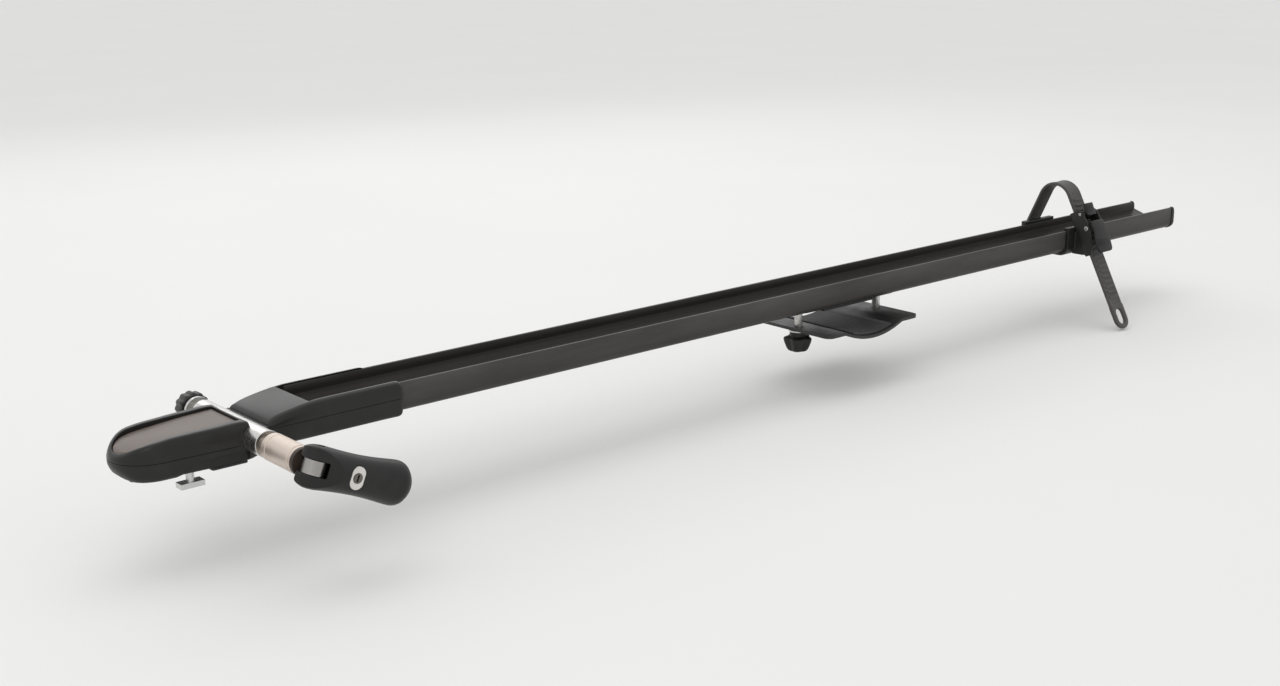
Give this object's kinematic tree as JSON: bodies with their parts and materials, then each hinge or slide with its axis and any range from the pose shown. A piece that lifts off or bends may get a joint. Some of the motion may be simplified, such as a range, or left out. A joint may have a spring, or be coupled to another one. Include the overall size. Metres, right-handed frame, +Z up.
{
  "type": "roof mounted bike carrier",
  "caption": "Long channel tray with a rounded fork-clamp head, cam lever skewer, bar clamp under the tray and a ratchet wheel strap; carries a bicycle on roof crossbars.",
  "frame": {"origin": "middle of the front seat, on the plane where the seat pads meet the crossbar tops", "axes": "+X along the tray from the head to the tail, +Y to the side away from the lever, +Z up off the crossbars"},
  "size_m": [1.2915, 0.2141, 0.1514],
  "materials": {
    "tray": "black anodised, satin",
    "moulding": "moulded, fine grain",
    "gloss_cover": "moulded, half gloss",
    "lid": "moulded, satin grey brown",
    "grip": "moulded, satin",
    "rubber": "matt",
    "steel": "zinc plated",
    "sleeve_metal": "satin, warm nickel tone",
    "dark_washer": "moulded, dark brown",
    "bezel": "satin",
    "black_metal": "black powder coat",
    "brass": "turned"
  },
  "bodies": {
    "carrier": {"tray_channel": "tray", "tail_cap": "moulding", "tray_t_nut": "steel", "tray_bolts": "steel", "head_base": "moulding", "nose_cover": "gloss_cover", "access_lid": "lid", "tray_collar": "gloss_cover", "head_screws": "steel", "front_seat_pad": "rubber", "front_t_bolts": "steel", "front_washers": "steel", "front_nuts": "steel", "axle_tube": "steel", "tube_set_screws": "steel"},
    "skewer": {"skewer_rod": "steel"},
    "sleeve": {"thrust_sleeve": "sleeve_metal", "thrust_washer": "dark_washer", "sleeve_spring": "steel"},
    "lever": {"cam_lever": "grip", "lever_end_cap": "grip", "cam_pin": "steel", "lock_bezel": "bezel"},
    "lock": {"lock_plug": "steel"},
    "far_thrust": {"far_washer": "steel"},
    "adjuster": {"far_nut": "black_metal"},
    "rear_clamp": {"rear_saddle": "moulding", "rear_seat_pad": "rubber", "rear_stud_front": "steel", "rear_stud_back": "steel"},
    "jaw": {"rear_jaw": "black_metal", "jaw_liner": "rubber", "jaw_washers": "steel"},
    "front_knob": {"knob_front": "moulding", "knob_front_insert": "brass"},
    "back_knob": {"knob_back": "moulding", "knob_back_insert": "brass"},
    "strap_unit": {"strap_slider": "moulding", "wheel_strap": "rubber", "strap_anchor_pin": "steel", "buckle_base": "moulding", "buckle_screw": "steel", "ratchet_pin": "steel", "pawl_pin": "steel"},
    "ratchet": {"ratchet_lever": "grip"},
    "release": {"release_pawl": "grip"}
  },
  "joints": [
    {"name": "skewer_spin", "type": "hinge", "parent": "carrier", "child": "skewer", "pos_m": [0.0458, 0, 0.0187], "axis": [0, 1, 0], "continuous": true},
    {"name": "lever_swing", "type": "hinge", "parent": "skewer", "child": "lever", "pos_m": [0.0458, -0.11395, 0.0187], "axis": [-0.3971, 0, -0.9178], "range_deg": [0, 110]},
    {"name": "sleeve_slide", "type": "slide", "parent": "skewer", "child": "sleeve", "axis": [0, -1, 0], "range_m": [0, 0.0018], "deforming": ["sleeve_spring"]},
    {"name": "lock_turn", "type": "hinge", "parent": "lever", "child": "lock", "pos_m": [0.07104, -0.11395, 0.00778], "axis": [0, -1, 0], "range_deg": [0, 90]},
    {"name": "far_washer_slide", "type": "slide", "parent": "skewer", "child": "far_thrust", "axis": [0, 1, 0], "range_m": [0, 0.008]},
    {"name": "nut_turn", "type": "hinge", "parent": "far_thrust", "child": "adjuster", "pos_m": [0.0458, 0.065, 0.0187], "axis": [0, 1, 0], "range_deg": [0, 2880]},
    {"name": "rear_clamp_slide", "type": "slide", "parent": "carrier", "child": "rear_clamp", "axis": [1, 0, 0], "range_m": [-0.15, 0.05]},
    {"name": "jaw_drop", "type": "slide", "parent": "rear_clamp", "child": "jaw", "axis": [0, 0, -1], "range_m": [0, 0.008]},
    {"name": "front_knob_turn", "type": "hinge", "parent": "jaw", "child": "front_knob", "pos_m": [0.634, 0, -0.02], "axis": [0, 0, -1], "range_deg": [0, 2304]},
    {"name": "back_knob_turn", "type": "hinge", "parent": "jaw", "child": "back_knob", "pos_m": [0.746, 0, -0.02], "axis": [0, 0, -1], "range_deg": [0, 2304]},
    {"name": "strap_slide", "type": "slide", "parent": "carrier", "child": "strap_unit", "axis": [1, 0, 0], "range_m": [-0.15, 0.13]},
    {"name": "ratchet_swing", "type": "hinge", "parent": "strap_unit", "child": "ratchet", "pos_m": [1.052, -0.0455, 0.03812], "axis": [-1, 0, 0], "range_deg": [0, 70]},
    {"name": "release_swing", "type": "hinge", "parent": "strap_unit", "child": "release", "pos_m": [1.052, -0.03646, 0.05257], "axis": [-1, 0, 0], "range_deg": [0, 14], "stiffness_Nm_per_rad": 0.02, "springref_deg": -11.46}
  ],
  "couplings": [
    {"joint": "sleeve_slide", "follows": "lever_swing", "m_per_rad": 0.000937},
    {"joint": "far_washer_slide", "follows": "nut_turn", "m_per_rad": 0.000159},
    {"joint": "front_knob_turn", "follows": "jaw_drop", "rad_per_m": 5026.5},
    {"joint": "back_knob_turn", "follows": "jaw_drop", "rad_per_m": 5026.5}
  ]
}
